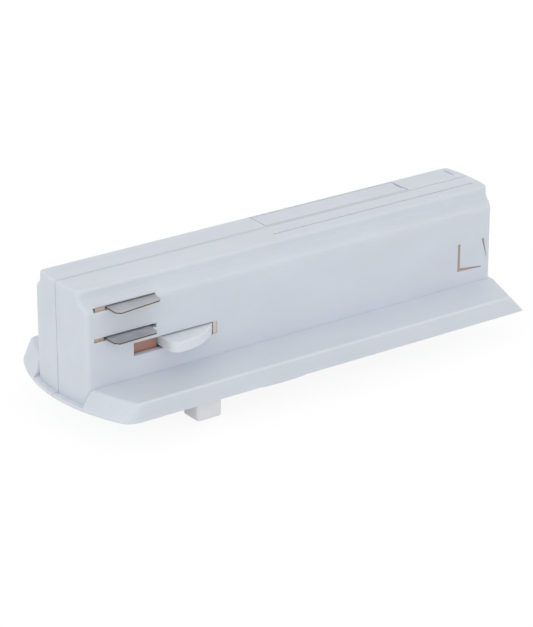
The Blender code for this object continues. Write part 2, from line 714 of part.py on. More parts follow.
def cross_recess(screw, x, y, face, depth, reach):
    """Cut a cross into a screw head's lower face."""
    arm = 0.3 * MM
    cross = box("cross", (x - reach, y - arm, face - 1.0 * MM), (x + reach, y + arm, face + depth))
    join(cross, box("cross_bar", (x - arm, y - reach, face - 1.0 * MM), (x + arm, y + reach, face + depth)))
    return boolean(screw, cross)


def inner_frame():
    """Tray under the carriages that steadies the rotor, with aprons behind the lock slots."""
    tray = box("inner_frame", (FRAME_LEFT, -CARRIAGE_OUTER, FRAME_Z), (FRAME_RIGHT, CARRIAGE_OUTER, FRAME_TOP))
    guides = (
        (CARRIAGE_LEFT - SEAM - FRAME_WALL, FRAME_GUIDE_TOP),
        (CARRIAGE_RIGHT + SEAM, BLADE_LEVELS[0] - CONTACT_SLOT_HEIGHT / 2),
        (FRAME_RIGHT - FRAME_WALL, FAR_ARM_Z + ARM_THICKNESS),
    )
    for i, (left, top) in enumerate(guides):
        join(tray, box(f"guide_{i}", (left, -GUIDE_HALF, FRAME_Z + FRAME_THICKNESS / 2),
                       (left + FRAME_WALL, GUIDE_HALF, top)))
    apron_low = TAB_LOW - RUNNING - APRON_BELOW_SLOT
    for side in (-1, 1):
        x_low, x_high = sorted((LOCK_X + side * APRON_START, LOCK_X + side * APRON_END))
        y_low, y_high = mirror_span(side, GUIDE_HALF - APRON_THICKNESS, GUIDE_HALF)
        join(tray, box("apron", (x_low, y_low, apron_low), (x_high, y_high, FRAME_Z + FRAME_THICKNESS / 2)))
    boolean(tray, cylinder("frame_hole", SHAFT_RADIUS + RUNNING, FRAME_Z - 1.0 * MM, FRAME_TOP + 1.0 * MM, LOCK_X))
    return tray


def tab_outline():
    """Plan of one locking tab about the axis: straight back, rounded corner, nose on a circle."""
    corner = TAB_CORNER
    reach = TAB_TIP - corner
    centre_x = corner - TAB_BACK
    centre_y = -math.sqrt(reach ** 2 - centre_x ** 2)
    first = math.atan2(centre_y, centre_x)
    last = -math.radians(TAB_END_DEG)
    points = [(-TAB_BACK, -TAB_HUB * 0.8)]
    for i in range(CORNER_STEPS + 1):
        angle = -math.pi + (first + math.pi) * i / CORNER_STEPS
        points.append((centre_x + corner * math.cos(angle), centre_y + corner * math.sin(angle)))
    for i in range(1, ARC_STEPS + 1):
        angle = first + (last - first) * i / ARC_STEPS
        points.append((TAB_TIP * math.cos(angle), TAB_TIP * math.sin(angle)))
    points.append((TAB_HUB * 0.8 * math.cos(last), TAB_HUB * 0.8 * math.sin(last)))
    return points


def tab_disc():
    """Hub with the two opposed locking tabs."""
    hub = cylinder("tab_hub", TAB_HUB, TAB_LOW, TAB_TOP, LOCK_X)
    for sign in (-1, 1):
        outline = [(LOCK_X - sign * x, -sign * y) for x, y in tab_outline()]
        join(hub, smooth(prism("tab", outline, TAB_LOW, TAB_TOP)))
    bevel = hub.modifiers.new("edges", "BEVEL")
    bevel.width = TAB_EDGE
    bevel.segments = 2
    bevel.limit_method = "ANGLE"
    bevel.angle_limit = math.radians(60)
    return hub


def lock_rotor():
    """Upright shaft with the locking tabs; squared ends take the crank and the lever."""
    low_stub = LEVER_TOP - LEVER_THICKNESS + 0.3 * MM
    rotor = cylinder("lock_rotor", SHAFT_RADIUS, FLANGE_BOTTOM, FRAME_TOP, LOCK_X)
    half = STUB_WIDTH / 2
    join(rotor, box("stub", (LOCK_X - half, -half, low_stub), (LOCK_X + half, half, CRANK_TOP)))
    join(rotor, tab_disc())
    boolean(rotor, cylinder("rotor_bore", LEVER_SCREW_RADIUS + SEAM, low_stub - 1.0 * MM,
                            low_stub + LEVER_SCREW_DEPTH, LOCK_X, 0.0, 16))
    return rotor


def pin_place(side):
    """Position of a crank pin about the axis with the lock closed: the near pin to the right."""
    return (-side * math.sqrt(CRANK_THROW ** 2 - (TRAVEL / 2) ** 2), side * TRAVEL / 2)


def lock_crank():
    """Disc on the shaft with a short pin for the far carriage and a tall one for the near."""
    crank = cylinder("lock_crank", CRANK_RADIUS, CRANK_LOW, CRANK_TOP, LOCK_X)
    half = STUB_WIDTH / 2 + SEAM
    boolean(crank, box("crank_hole", (LOCK_X - half, -half, CRANK_LOW - 1.0 * MM),
                       (LOCK_X + half, half, CRANK_TOP + 1.0 * MM)))
    for side, arm in ((-1, NEAR_ARM_Z), (1, FAR_ARM_Z)):
        x, y = pin_place(side)
        join(crank, cylinder("crank_pin", CRANK_PIN, CRANK_TOP - CRANK_THICKNESS / 2, arm + ARM_THICKNESS,
                             LOCK_X + x, y, 16))
    return crank


def lock_lever():
    """Lever under the flange, its end turned down as a grip."""
    turn = Matrix.Translation((LOCK_X, 0, 0)) @ Matrix.Rotation(math.radians(LEVER_YAW_DEG), 4, "Z")
    low = LEVER_TOP - LEVER_THICKNESS
    half = LEVER_WIDTH / 2
    lever = cylinder("lock_lever", LEVER_HUB, low, LEVER_TOP, LOCK_X)
    arm = box("lever_arm", (-half, GRIP_DEPTH / 2 - LEVER_REACH, low), (half, 0.0, LEVER_TOP))
    arm.matrix_world = turn @ Matrix.Translation(arm.location)
    middle = LOCK_X + LEVER_REACH * math.sin(math.radians(LEVER_YAW_DEG))
    grip = box("lever_grip", (middle - GRIP_WIDTH / 2, -LEVER_REACH, LEVER_TOP - GRIP_HEIGHT),
               (middle + GRIP_WIDTH / 2, GRIP_DEPTH - LEVER_REACH, LEVER_TOP))
    bevel = grip.modifiers.new("edges", "BEVEL")
    bevel.width = GRIP_EDGE
    bevel.segments = 3
    join(lever, arm)
    join(lever, grip)
    hole = STUB_WIDTH / 2 + SEAM
    boolean(lever, box("lever_hole", (LOCK_X - hole, -hole, low - 1.0 * MM),
                       (LOCK_X + hole, hole, LEVER_TOP + 1.0 * MM)))
    return lever


def lever_screw():
    """Screw that holds the lever on the rotor."""
    top = LEVER_TOP - LEVER_THICKNESS - SEAM
    low = top - LEVER_SCREW_HEAD_HEIGHT
    tip = top + LEVER_SCREW_DEPTH
    profile = [(0.0, tip), (LEVER_SCREW_RADIUS, tip), (LEVER_SCREW_RADIUS, top),
               (LEVER_SCREW_HEAD, top), (LEVER_SCREW_HEAD, low + 0.4 * MM),
               (LEVER_SCREW_HEAD - 0.6 * MM, low), (0.0, low)]
    screw = turned("lever_screw", profile, LOCK_X)
    return cross_recess(screw, LOCK_X, 0.0, low, 0.8 * MM, 1.6 * MM)


def prism_x(name, outline, left, right):
    """Outline in Y and Z run along X."""
    thing = prism(name, outline, 0.0, right - left)
    thing.location = (0, 0, 0)
    half = (right - left) / 2
    for vertex in thing.data.vertices:
        y, z, along = vertex.co
        vertex.co = (left + half + along, y, z)
    return thing


def carriage(name, side):
    """Insulating slide with pockets for two blades and an arm to its crank pin."""
    outline = [
        (side * CARRIAGE_OUTER, CARRIAGE_LOW),
        (side * CARRIAGE_OUTER, WAIST - SEAM / 2),
        (side * (INNER_TOP_HALF - SEAM), WAIST_TOP - SEAM / 2),
        (side * (INNER_TOP_HALF - SEAM), CARRIAGE_TOP),
        (side * CARRIAGE_INNER, CARRIAGE_TOP),
        (side * CARRIAGE_INNER, CARRIAGE_LOW),
    ]
    slide = prism_x(name, outline, CARRIAGE_LEFT, CARRIAGE_RIGHT)
    pocket_inner = BODY_HALF - BLADE_TAIL - SEAM
    half = BLADE_THICKNESS / 2 + SEAM
    for level, z in enumerate(BLADE_LEVELS):
        y_low, y_high = mirror_span(side, pocket_inner, BODY_HALF)
        left, right = blade_tail(level)
        boolean(slide, box(f"pocket_{level}", (left - SEAM, y_low, z - half), (right + SEAM, y_high, z + half)))
    return join(slide, carriage_arm(side))


def carriage_arm(side):
    """Arm from a carriage to its crank pin, with a slot across the travel."""
    play = CRANK_PIN + SEAM
    pin_x, pin_y = pin_place(side)
    left, right = sorted((LOCK_X + pin_x, LOCK_X - side * CRANK_THROW))
    left -= play
    right += play
    tip = right + ARM_WALL
    inner = abs(pin_y) - play - ARM_WALL
    outer = abs(pin_y) + play + ARM_WALL
    foot = CARRIAGE_RIGHT - 0.3 * MM
    stem = CARRIAGE_RIGHT + RUNNING
    knee = stem + 1.8 * MM
    root = CARRIAGE_OUTER - 0.25 * MM
    points = [(foot, root), (knee, root), (knee, outer), (tip, outer), (tip, inner), (stem, inner),
              (stem, CARRIAGE_INNER + 0.25 * MM), (foot, CARRIAGE_INNER + 0.25 * MM)]
    low = NEAR_ARM_Z if side < 0 else FAR_ARM_Z
    arm = prism("carriage_arm", [(x, side * y) for x, y in points], low, low + ARM_THICKNESS)
    y_low, y_high = mirror_span(side, abs(pin_y) - play, abs(pin_y) + play)
    return boolean(arm, box("arm_slot", (left, y_low, low - 1.0 * MM),
                            (right, y_high, low + 1.0 * MM + ARM_THICKNESS)))


def blade_span(level):
    """Left and right end of a blade, and how far its outer edge falls back to the right."""
    start, width, skew = (
        (LOWER_BLADE_FROM_END, LOWER_BLADE_WIDTH, LOWER_BLADE_SKEW),
        (UPPER_BLADE_FROM_END, UPPER_BLADE_WIDTH, UPPER_BLADE_SKEW),
    )[level]
    return LEFT_END + start, LEFT_END + start + width, skew


def blade_tail(level):
    """Left and right end of the part of a blade that sits in its carriage."""
    return blade_span(level)[0], CARRIAGE_RIGHT - 3 * SEAM


def blade(name, side, level):
    """Flat contact blade, clipped at its outer corners, with a narrower tail."""
    left, right, skew = blade_span(level)
    tail = blade_tail(level)[1]
    inner = BODY_HALF - BLADE_TAIL
    step = CARRIAGE_OUTER + SEAM
    outer = BODY_HALF + BLADE_PROUD
    clip = BLADE_CLIP
    points = [(left, inner), (left, outer - clip), (left + clip, outer), (right - clip, outer - skew),
              (right - 0.2 * MM, outer - skew - clip), (right, step), (tail, step), (tail, inner)]
    z = BLADE_LEVELS[level]
    return prism(name, [(x, side * y) for x, y in points], z - BLADE_THICKNESS / 2, z + BLADE_THICKNESS / 2)


def selector_switch():
    """Body of the circuit selector on the inner face of the cover."""
    half = SELECTOR_WIDTH / 2
    low = COVER_TOP + SEAM
    body = rounded_box("selector_switch", (SELECTOR_X - half, -half, low),
                       (SELECTOR_X + half, half, low + SELECTOR_HEIGHT), 0.5 * MM)
    return boolean(body, cylinder("spindle_bore", SELECTOR_SPINDLE + RUNNING, low - 1.0 * MM,
                                  low + SELECTOR_HEIGHT / 2, SELECTOR_X))


def selector_knob():
    """Knob and spindle of the circuit selector, with a raised grip bar."""
    top = COVER_TOP + SELECTOR_HEIGHT / 2
    low = LEVER_TOP - SELECTOR_KNOB_HEIGHT
    profile = [(0.0, top), (SELECTOR_SPINDLE, top), (SELECTOR_SPINDLE, LEVER_TOP),
               (SELECTOR_KNOB_RADIUS, LEVER_TOP), (SELECTOR_KNOB_RADIUS, low + 0.5 * MM),
               (SELECTOR_KNOB_RADIUS - 0.5 * MM, low), (0.0, low)]
    knob = turned("selector_knob", profile, SELECTOR_X)
    half = SELECTOR_BAR / 2
    reach = SELECTOR_KNOB_RADIUS - 1.2 * MM
    return join(knob, box("knob_bar", (SELECTOR_X - half, -reach, low - 1.4 * MM),
                          (SELECTOR_X + half, reach, low + 0.5 * MM)))


def nipple():
    """Threaded tube that carries the luminaire and lets its leads in."""
    low = NIPPLE_TOP - NIPPLE_LENGTH
    edge = 0.4 * MM
    profile = [(NIPPLE_BORE, NIPPLE_TOP), (NIPPLE_RADIUS - edge, NIPPLE_TOP), (NIPPLE_RADIUS, NIPPLE_TOP - edge),
               (NIPPLE_RADIUS, low + edge), (NIPPLE_RADIUS - edge, low), (NIPPLE_BORE, low)]
    return turned("nipple", profile, NIPPLE_X, closed=True)


def nut(name, low):
    """Hexagon nut on the nipple."""
    corner = NUT_FLATS / math.sqrt(3.0)
    body = cylinder(name, corner, low, low + NUT_HEIGHT, NIPPLE_X, 0.0, 6)
    return boolean(body, cylinder("nut_bore", NIPPLE_RADIUS + SEAM, low - 1.0 * MM,
                                  low + NUT_HEIGHT + 1.0 * MM, NIPPLE_X))


def driver_board():
    """Circuit board on the ribs of both halves."""
    return box("driver_board", (BOARD_LEFT, -CARRIAGE_OUTER, BOARD_Z), (BOARD_RIGHT, CARRIAGE_OUTER, BOARD_TOP))


def transformer():
    """Transformer: a core round a wound coil."""
    top = ROOF - TRANSFORMER_HEADROOM
    half = INNER_TOP_HALF - TRANSFORMER_SIDE_SET
    core = rounded_box("transformer", (TRANSFORMER_LEFT, -half, BOARD_SEAT), (TRANSFORMER_RIGHT, half, top),
                       0.4 * MM)
    inset = 2.6 * MM
    for side in (-1, 1):
        y_low, y_high = mirror_span(side, half - 1.2 * MM, half + 1.0 * MM)
        boolean(core, box("coil_recess", (TRANSFORMER_LEFT + inset, y_low, BOARD_SEAT + inset),
                          (TRANSFORMER_RIGHT - inset, y_high, top - inset)))
    return core


def capacitor(name, radius, side, top):
    """Upright capacitor with a crimp below its round shoulder."""
    low = BOARD_SEAT
    profile = [(0.0, top), (radius - 0.6 * MM, top), (radius, top - 0.6 * MM), (radius, low + 2.0 * MM),
               (radius - 0.35 * MM, low + 1.6 * MM), (radius, low + 1.2 * MM), (radius, low), (0.0, low)]
    return turned(name, profile, CAPACITOR_X, side * (radius + PART_SPACING / 2))


def terminal_places():
    """X positions of the terminal screws."""
    return [TERMINAL_LEFT + TERMINAL_PITCH * (i + 0.5) for i in range(TERMINAL_COUNT)]


def terminal_block():
    """Terminal block with a screw well and a lead entry for each pole."""
    half = INNER_TOP_HALF - TERMINAL_SIDE_SET
    block = box("terminal_block", (TERMINAL_LEFT, -half, BOARD_SEAT), (TERMINAL_RIGHT, half, TERMINAL_TOP))
    entry = 0.8 * TERMINAL_SCREW
    for x in terminal_places():
        boolean(block, cylinder("screw_well", TERMINAL_SCREW + SEAM, TERMINAL_TOP - TERMINAL_SCREW_HEIGHT - 1.0 * MM,
                                TERMINAL_TOP + 1.0 * MM, x, 0.0, 16))
        boolean(block, box("lead_entry", (x - entry, half - 3.0 * MM, BOARD_SEAT + 2.0 * MM),
                           (x + entry, half + 1.0 * MM, BOARD_SEAT + 2.0 * MM + 2 * entry)))
    return block


def terminal_screw(index, x):
    """Slotted terminal screw in its well."""
    top = TERMINAL_TOP - 0.7 * MM
    screw = cylinder(f"terminal_screw_{index}", TERMINAL_SCREW, top - TERMINAL_SCREW_HEIGHT, top, x, 0.0, 16)
    return boolean(screw, box("screw_slot", (x - TERMINAL_SCREW, -0.3 * MM, top - 0.6 * MM),
                              (x + TERMINAL_SCREW, 0.3 * MM, top + 1.0 * MM)))


def build():
    """Make every piece of the adapter."""
    plastic = (WHITE, 0.42)
    finish(smooth(housing_near(), 30.0), plastic)
    finish(smooth(housing_far(), 30.0), plastic)
    finish(terminal_cover(), plastic)
    finish(bottom_cover(), plastic)
    for i, (x, y) in enumerate(screw_places()):
        finish(cover_screw(i + 1, x, y), (STEEL, 0.3, 1.0))
    finish(inner_frame(), (CREAM, 0.5))
    finish(smooth(lock_rotor()), plastic)
    finish(smooth(lock_crank()), (CREAM, 0.45))
    finish(smooth(lock_lever()), (LEVER_WHITE, 0.45))
    finish(smooth(lever_screw()), (STEEL, 0.3, 1.0))
    for label, side in (("near", -1), ("far", 1)):
        finish(carriage(f"contact_carriage_{label}", side), (CREAM, 0.5))
        for level, height in enumerate(("lower", "upper")):
            finish(blade(f"blade_{label}_{height}", side, level), (STEEL, 0.35, 1.0))
    finish(selector_switch(), (BLACK, 0.5))
    finish(smooth(selector_knob()), (LEVER_WHITE, 0.45))
    finish(smooth(nipple()), (STEEL, 0.3, 1.0))
    finish(nut("nipple_nut_inner", COVER_TOP + SEAM), (STEEL, 0.3, 1.0))
    finish(nut("nipple_nut_outer", FLANGE_BOTTOM - SEAM - NUT_HEIGHT), (STEEL, 0.3, 1.0))
    finish(driver_board(), (GREEN, 0.5))
    finish(transformer(), (BLACK, 0.6))
    tall = ROOF - TRANSFORMER_HEADROOM
    short = ROOF - CAPACITOR_SMALL_HEADROOM
    finish(smooth(capacitor("capacitor_large", CAPACITOR_RADIUS_LARGE, 1, tall)), (BLACK, 0.4))
    finish(smooth(capacitor("capacitor_small", CAPACITOR_RADIUS_SMALL, -1, short)), (BLACK, 0.4))
    finish(terminal_block(), (CREAM, 0.5))
    for i, x in enumerate(terminal_places()):
        finish(smooth(terminal_screw(i + 1, x)), (STEEL, 0.3, 1.0))


for old in list(bpy.data.objects):
    bpy.data.objects.remove(old)
parts = fresh_collection("track_light_adapter")
cutters = fresh_collection("cutters")
hollow = cavity()
cover_recess = prism("cover_recess", whole(flange_outline(FLANGE_RIM, 0.0)),
                     FLANGE_BOTTOM - 1.0 * MM, -FLANGE_WEB)
build()
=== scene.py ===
"""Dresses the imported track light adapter: materials, soft edges, fine pieces, light and camera."""
import math

import bmesh
import bpy
from mathutils import Matrix, Vector


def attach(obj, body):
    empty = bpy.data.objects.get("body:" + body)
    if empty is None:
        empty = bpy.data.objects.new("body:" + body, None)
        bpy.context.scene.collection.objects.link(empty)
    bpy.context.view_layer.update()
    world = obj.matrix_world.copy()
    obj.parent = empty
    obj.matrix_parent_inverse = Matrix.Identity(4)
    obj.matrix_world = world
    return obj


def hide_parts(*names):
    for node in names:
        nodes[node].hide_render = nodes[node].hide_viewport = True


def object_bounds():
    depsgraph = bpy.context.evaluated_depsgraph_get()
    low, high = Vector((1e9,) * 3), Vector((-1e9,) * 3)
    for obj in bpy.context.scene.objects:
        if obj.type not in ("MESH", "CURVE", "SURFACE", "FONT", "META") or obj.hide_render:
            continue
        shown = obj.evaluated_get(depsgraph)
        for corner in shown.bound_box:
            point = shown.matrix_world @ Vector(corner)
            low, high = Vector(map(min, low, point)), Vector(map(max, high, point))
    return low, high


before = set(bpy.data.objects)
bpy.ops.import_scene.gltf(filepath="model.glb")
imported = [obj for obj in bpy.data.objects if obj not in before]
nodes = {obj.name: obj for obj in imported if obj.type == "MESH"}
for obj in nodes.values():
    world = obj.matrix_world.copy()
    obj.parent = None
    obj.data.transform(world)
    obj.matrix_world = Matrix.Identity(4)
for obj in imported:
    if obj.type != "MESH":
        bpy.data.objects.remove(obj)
cad_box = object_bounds()

MM = 0.001

# Sizes in millimetres that the pieces below share with the part's source
LOCK_X = -37.9
APRON_FOOT = 5.3
LOWER_CONTACT = 12.1
UPPER_CONTACT = 19.7
NIPPLE_X = 14.0
NIPPLE_RADIUS = 5.0
NIPPLE_BORE = 3.6
NIPPLE_LOW = -12.0
NIPPLE_HIGH = 1.0

# The nipple's thread, in millimetres, and how finely it is cut
THREAD_PITCH = 1.0
THREAD_DEPTH = 0.55
THREAD_RUN_OUT = 0.5
THREAD_SIDES = 36
THREAD_STEPS = 156

# Edges sharper than this are rounded
SHARP_ANGLE = math.radians(40.0)

# Strength of the light that the world casts
WORLD_LIGHT = 0.735
WHITE = (1.0, 1.0, 1.0, 1.0)

# Floor: its half side in metres, its colour, and the glow mixed in where it is seen
FLOOR_REACH = 3.0
FLOOR_COLOUR = (0.95, 0.95, 0.95, 1.0)
FLOOR_GLOW = 1.04
FLOOR_GLOW_SHARE = 0.86

# Name, place in metres, side in metres and power in watts of each soft box
SOFT_BOXES = (
    ("left", (-0.80, -0.25, 0.50), 0.7, 1.25),
    ("front", (0.25, -0.80, 0.45), 0.8, 0.60),
    ("low", (-0.40, -0.85, 0.10), 0.6, 0.60),
    ("back", (0.30, 0.80, 0.50), 0.8, 0.20),
)

# Camera, as fitted to the photograph's outline
AZIMUTH = math.radians(-35.5)
ELEVATION = math.radians(22.8)
CAMERA_PLACE = (-0.3644, -0.5086, 0.2640)
FOCAL_PIXELS = 2716.0
PICTURE_PIXELS = 627.0
SENSOR = 36.0


def new_material(name):
    """New material, with its node tree and its shader."""
    material = bpy.data.materials.new(name)
    material.use_nodes = True
    tree = material.node_tree
    return material, tree, tree.nodes["Principled BSDF"]


def add(tree, kind, **values):
    """Add a node and set its inputs or properties."""
    node = tree.nodes.new(kind)
    for key, value in values.items():
        if key in node.inputs:
            node.inputs[key].default_value = value
        else:
            setattr(node, key, value)
    return node


def object_coordinates(tree, scale=(1.0, 1.0, 1.0)):
    """Object-space coordinates through a mapping."""
    source = add(tree, "ShaderNodeTexCoord")
    mapping = add(tree, "ShaderNodeMapping", Scale=scale)
    tree.links.new(source.outputs["Object"], mapping.inputs["Vector"])
    return mapping.outputs["Vector"]


def noise(tree, vector, scale, detail=3.0, rough=0.55):
    """Noise factor at a scale in repeats per metre."""
    node = add(tree, "ShaderNodeTexNoise", Scale=scale, Detail=detail, Roughness=rough)
    tree.links.new(vector, node.inputs["Vector"])
    return node.outputs["Fac"]


def ramp(tree, factor, low, high, first, last):
    """Colour that goes from the first at the low factor to the last at the high one."""
    node = add(tree, "ShaderNodeValToRGB")
    ends = node.color_ramp.elements
    for end, position, colour in ((ends[0], low, first), (ends[1], high, last)):
        end.position = position
        end.color = (*colour, 1.0)
    tree.links.new(factor, node.inputs["Fac"])
    return node.outputs["Color"]


def spread(tree, factor, low, high):
    """Map a 0..1 factor to a range."""
    node = add(tree, "ShaderNodeMapRange")
    node.inputs["To Min"].default_value = low
    node.inputs["To Max"].default_value = high
    tree.links.new(factor, node.inputs["Value"])
    return node.outputs["Result"]


def bump(tree, height, strength, distance, before=None):
    """Bump from a height factor, chained on another if given."""
    node = add(tree, "ShaderNodeBump", Strength=strength, Distance=distance)
    tree.links.new(height, node.inputs["Height"])
    if before is not None:
        tree.links.new(before, node.inputs["Normal"])
    return node.outputs["Normal"]


def moulded(name, colour, roughness, grain=0.12, shade=0.96, depth=0.0):
    """Moulded plastic: fine grain, faint flow marks, uneven gloss, light let in by the depth."""
    material, tree, shader = new_material(name)
    vector = object_coordinates(tree)
    flow = noise(tree, object_coordinates(tree, (1.0, 2.5, 2.5)), scale=45.0, detail=4.0)
    fine = noise(tree, vector, scale=5200.0, detail=2.0)
    broad = noise(tree, vector, scale=160.0)
    darker = tuple(c * shade for c in colour)
    tint = ramp(tree, flow, low=0.30, high=0.70, first=darker, last=colour)
    gloss = spread(tree, broad, low=roughness - 0.07, high=roughness + 0.07)
    normal = bump(tree, fine, strength=grain, distance=0.04 * MM)
    normal = bump(tree, broad, strength=0.05, distance=0.15 * MM, before=normal)
    tree.links.new(tint, shader.inputs["Base Color"])
    tree.links.new(gloss, shader.inputs["Roughness"])
    tree.links.new(normal, shader.inputs["Normal"])
    shader.inputs["Specular IOR Level"].default_value = 0.35
    if depth > 0.0:
        shader.inputs["Subsurface Weight"].default_value = 0.6
        shader.inputs["Subsurface Radius"].default_value = (1.0, 0.78, 0.64)
        shader.inputs["Subsurface Scale"].default_value = depth
    return material


def plated_steel(name):
    """Plated steel with fine brush lines, tarnish and uneven gloss."""
    material, tree, shader = new_material(name)
    lines = noise(tree, object_coordinates(tree, (12.0, 12.0, 12.0)), scale=700.0, rough=0.6)
    cloud = noise(tree, object_coordinates(tree), scale=260.0, detail=4.0, rough=0.6)
    bright = (0.60, 0.60, 0.59)
    dull = tuple(c * 0.8 for c in bright)
    tint = ramp(tree, cloud, low=0.32, high=0.68, first=dull, last=bright)
    tree.links.new(tint, shader.inputs["Base Color"])
    tree.links.new(spread(tree, lines, low=0.20, high=0.42), shader.inputs["Roughness"])
    normal = bump(tree, lines, strength=0.15, distance=0.05 * MM)
    tree.links.new(normal, shader.inputs["Normal"])
    shader.inputs["Metallic"].default_value = 1.0
    return material


def contact_strip(name):
    """Nickel-plated contact blade: rubbed flat faces; its thin side faces carry painted shade above
    a painted pale highlight.
    """
    material, tree, shader = new_material(name)
    lines = noise(tree, object_coordinates(tree, (60.0, 1.0, 1.0)), scale=320.0, rough=0.6)
    cloud = noise(tree, object_coordinates(tree), scale=300.0, detail=4.0, rough=0.6)
    face = ramp(tree, cloud, low=0.30, high=0.70,
                first=(0.47, 0.47, 0.49), last=(0.58, 0.58, 0.60))
    source = add(tree, "ShaderNodeTexCoord")
    parts = add(tree, "ShaderNodeSeparateXYZ")
    tree.links.new(source.outputs["Generated"], parts.inputs["Vector"])
    # Painted light on the thin side faces: painted shade on their upper part, a painted pale
    # highlight on their lower part
    painted_side_shading = ramp(tree, parts.outputs["Z"], low=0.40, high=0.52,
                first=(0.62, 0.60, 0.52), last=(0.060, 0.055, 0.045))
    tilt = add(tree, "ShaderNodeSeparateXYZ")
    tree.links.new(source.outputs["Normal"], tilt.inputs["Vector"])
    upright = add(tree, "ShaderNodeMath", operation="ABSOLUTE")
    tree.links.new(tilt.outputs["Z"], upright.inputs[0])
    flat = add(tree, "ShaderNodeMath", operation="GREATER_THAN")
    flat.inputs[1].default_value = 0.7
    tree.links.new(upright.outputs[0], flat.inputs[0])
    mix = add(tree, "ShaderNodeMix", data_type="RGBA")
    painted_side_in, face_in = [socket for socket in mix.inputs if socket.type == "RGBA"]
    mixed = [socket for socket in mix.outputs if socket.type == "RGBA"][0]
    tree.links.new(flat.outputs[0], mix.inputs["Factor"])
    tree.links.new(painted_side_shading, painted_side_in)
    tree.links.new(face, face_in)
    tree.links.new(mixed, shader.inputs["Base Color"])
    tree.links.new(spread(tree, lines, low=0.34, high=0.52), shader.inputs["Roughness"])
    normal = bump(tree, lines, strength=0.25, distance=0.04 * MM)
    tree.links.new(normal, shader.inputs["Normal"])
    shader.inputs["Metallic"].default_value = 0.85
    return material


def laminate(name):
    """Circuit board: solder-resist lacquer over copper tracks."""
    material, tree, shader = new_material(name)
    vector = object_coordinates(tree)
    tracks = add(tree, "ShaderNodeTexBrick", Scale=110.0, Color1=(0.020, 0.150, 0.060, 1.0),
                 Color2=(0.030, 0.190, 0.080, 1.0), Mortar=(0.060, 0.280, 0.120, 1.0))
    tracks.inputs["Mortar Size"].default_value = 0.035
    tree.links.new(vector, tracks.inputs["Vector"])
    tree.links.new(tracks.outputs["Color"], shader.inputs["Base Color"])
    cloud = noise(tree, vector, scale=400.0)
    tree.links.new(spread(tree, cloud, low=0.22, high=0.40), shader.inputs["Roughness"])
    normal = bump(tree, tracks.outputs["Fac"], strength=0.3, distance=0.04 * MM)
    tree.links.new(normal, shader.inputs["Normal"])
    return material


shell = moulded("shell_white", (0.722, 0.766, 0.830), 0.46, depth=1.2 * MM)
lock_white = moulded("lock_white", (0.800, 0.830, 0.880), 0.40, depth=1.0 * MM)
lever_white = moulded("lever_white", (0.860, 0.865, 0.880), 0.42, depth=1.0 * MM)
frame_brown = moulded("frame_brown", (0.510, 0.272, 0.215), 0.50)
# Darker copy of the slide tan, without light let in: painted shade for the tongue's slits and the
# slots beside the blades
painted_shade_tan = moulded("painted_shade_tan", (0.560, 0.425, 0.345), 0.50)
slide_tan = moulded("slide_tan", (0.860, 0.700, 0.620), 0.50, depth=1.5 * MM)
black = moulded("black_moulding", (0.028, 0.028, 0.031), 0.48, grain=0.2, shade=0.7)
sleeve = moulded("capacitor_sleeve", (0.030, 0.034, 0.060), 0.28, grain=0.05, shade=0.7)
blade_metal = contact_strip("blade_metal")
plated = plated_steel("plated_steel")
board = laminate("board_lacquer")

# Material by the start of a node's name
DRESS = {
    "housing_": shell, "terminal_cover": shell, "bottom_cover": shell,
    "inner_frame": frame_brown,
    "lock_rotor": lock_white, "lock_lever": lever_white, "selector_knob": lever_white,
    "lock_crank": slide_tan, "contact_carriage_": slide_tan, "terminal_block": slide_tan,
    "selector_switch": black, "transformer": black, "capacitor_": sleeve,
    "driver_board": board, "blade_": blade_metal,
    "nipple": plated, "lever_screw": plated, "cover_screw_": plated, "terminal_screw_": plated,
}
for name, thing in nodes.items():
    surface = next(dress for start, dress in DRESS.items() if name.startswith(start))
    thing.data.materials.clear()
    thing.data.materials.append(surface)


def soften(name, width):
    """Round a node's sharp edges a little, as a mould leaves them."""
    bevel = nodes[name].modifiers.new("soft_edges", "BEVEL")
    bevel.width = width
    bevel.segments = 2
    bevel.limit_method = "ANGLE"
    bevel.angle_limit = SHARP_ANGLE


for width, names in (
        (0.12, ("terminal_cover", "bottom_cover", "driver_board")),
        (0.15, ("inner_frame", "terminal_block", "lever_screw", "selector_knob")),
        (0.30, ("nipple_nut_inner", "nipple_nut_outer",
                "contact_carriage_near", "contact_carriage_far"))):
    for name in names:
        soften(name, width * MM)


def settle(work, name, surface, body):
    """Turn a built mesh into a piece on its body."""
    bmesh.ops.recalc_face_normals(work, faces=work.faces)
    mesh = bpy.data.meshes.new(name)
    work.to_mesh(mesh)
    work.free()
    mesh.materials.append(surface)
    piece = bpy.data.objects.new(name, mesh)
    bpy.context.scene.collection.objects.link(piece)
    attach(piece, body)
    return piece


def run(name, outline, low, high, surface, body, upright=False):
    """Closed outline in millimetres, run between two levels.

    The outline is a plan run along Z, or where upright an X and Z outline run along Y.
    """
    work = bmesh.new()
    rings = []
    for level in (low, high):
        if upright:
            points = [(u, level, v) for u, v in outline]
        else:
            points = [(u, v, level) for u, v in outline]
        rings.append([work.verts.new([value * MM for value in point]) for point in points])
        work.faces.new(rings[-1])
    lower, upper = rings
    for i in range(len(outline)):
        j = (i + 1) % len(outline)
        work.faces.new((lower[i], lower[j], upper[j], upper[i]))
    settle(work, name, surface, body)


def box(left, right, low, high):
    """Outline of a box, from its sides."""
    return [(left, low), (right, low), (right, high), (left, high)]


def seam_lips():
    """Lip of the near half behind the seam: near the face on top, deeper at the ends' feet."""
    half = 1.2
    run("seam_lip_top", box(-62.0, -1.6, 23.4, 24.48), -half, half, shell, "housing", upright=True)
    for label, sign in (("left", -1), ("right", 1)):
        end = [(61.85, -4.0), (61.2, -4.0), (61.2, 24.0), (62.42, 24.0)]
        run(f"seam_lip_{label}", [(sign * x, z) for x, z in end], -half, half,
            shell, "housing", upright=True)


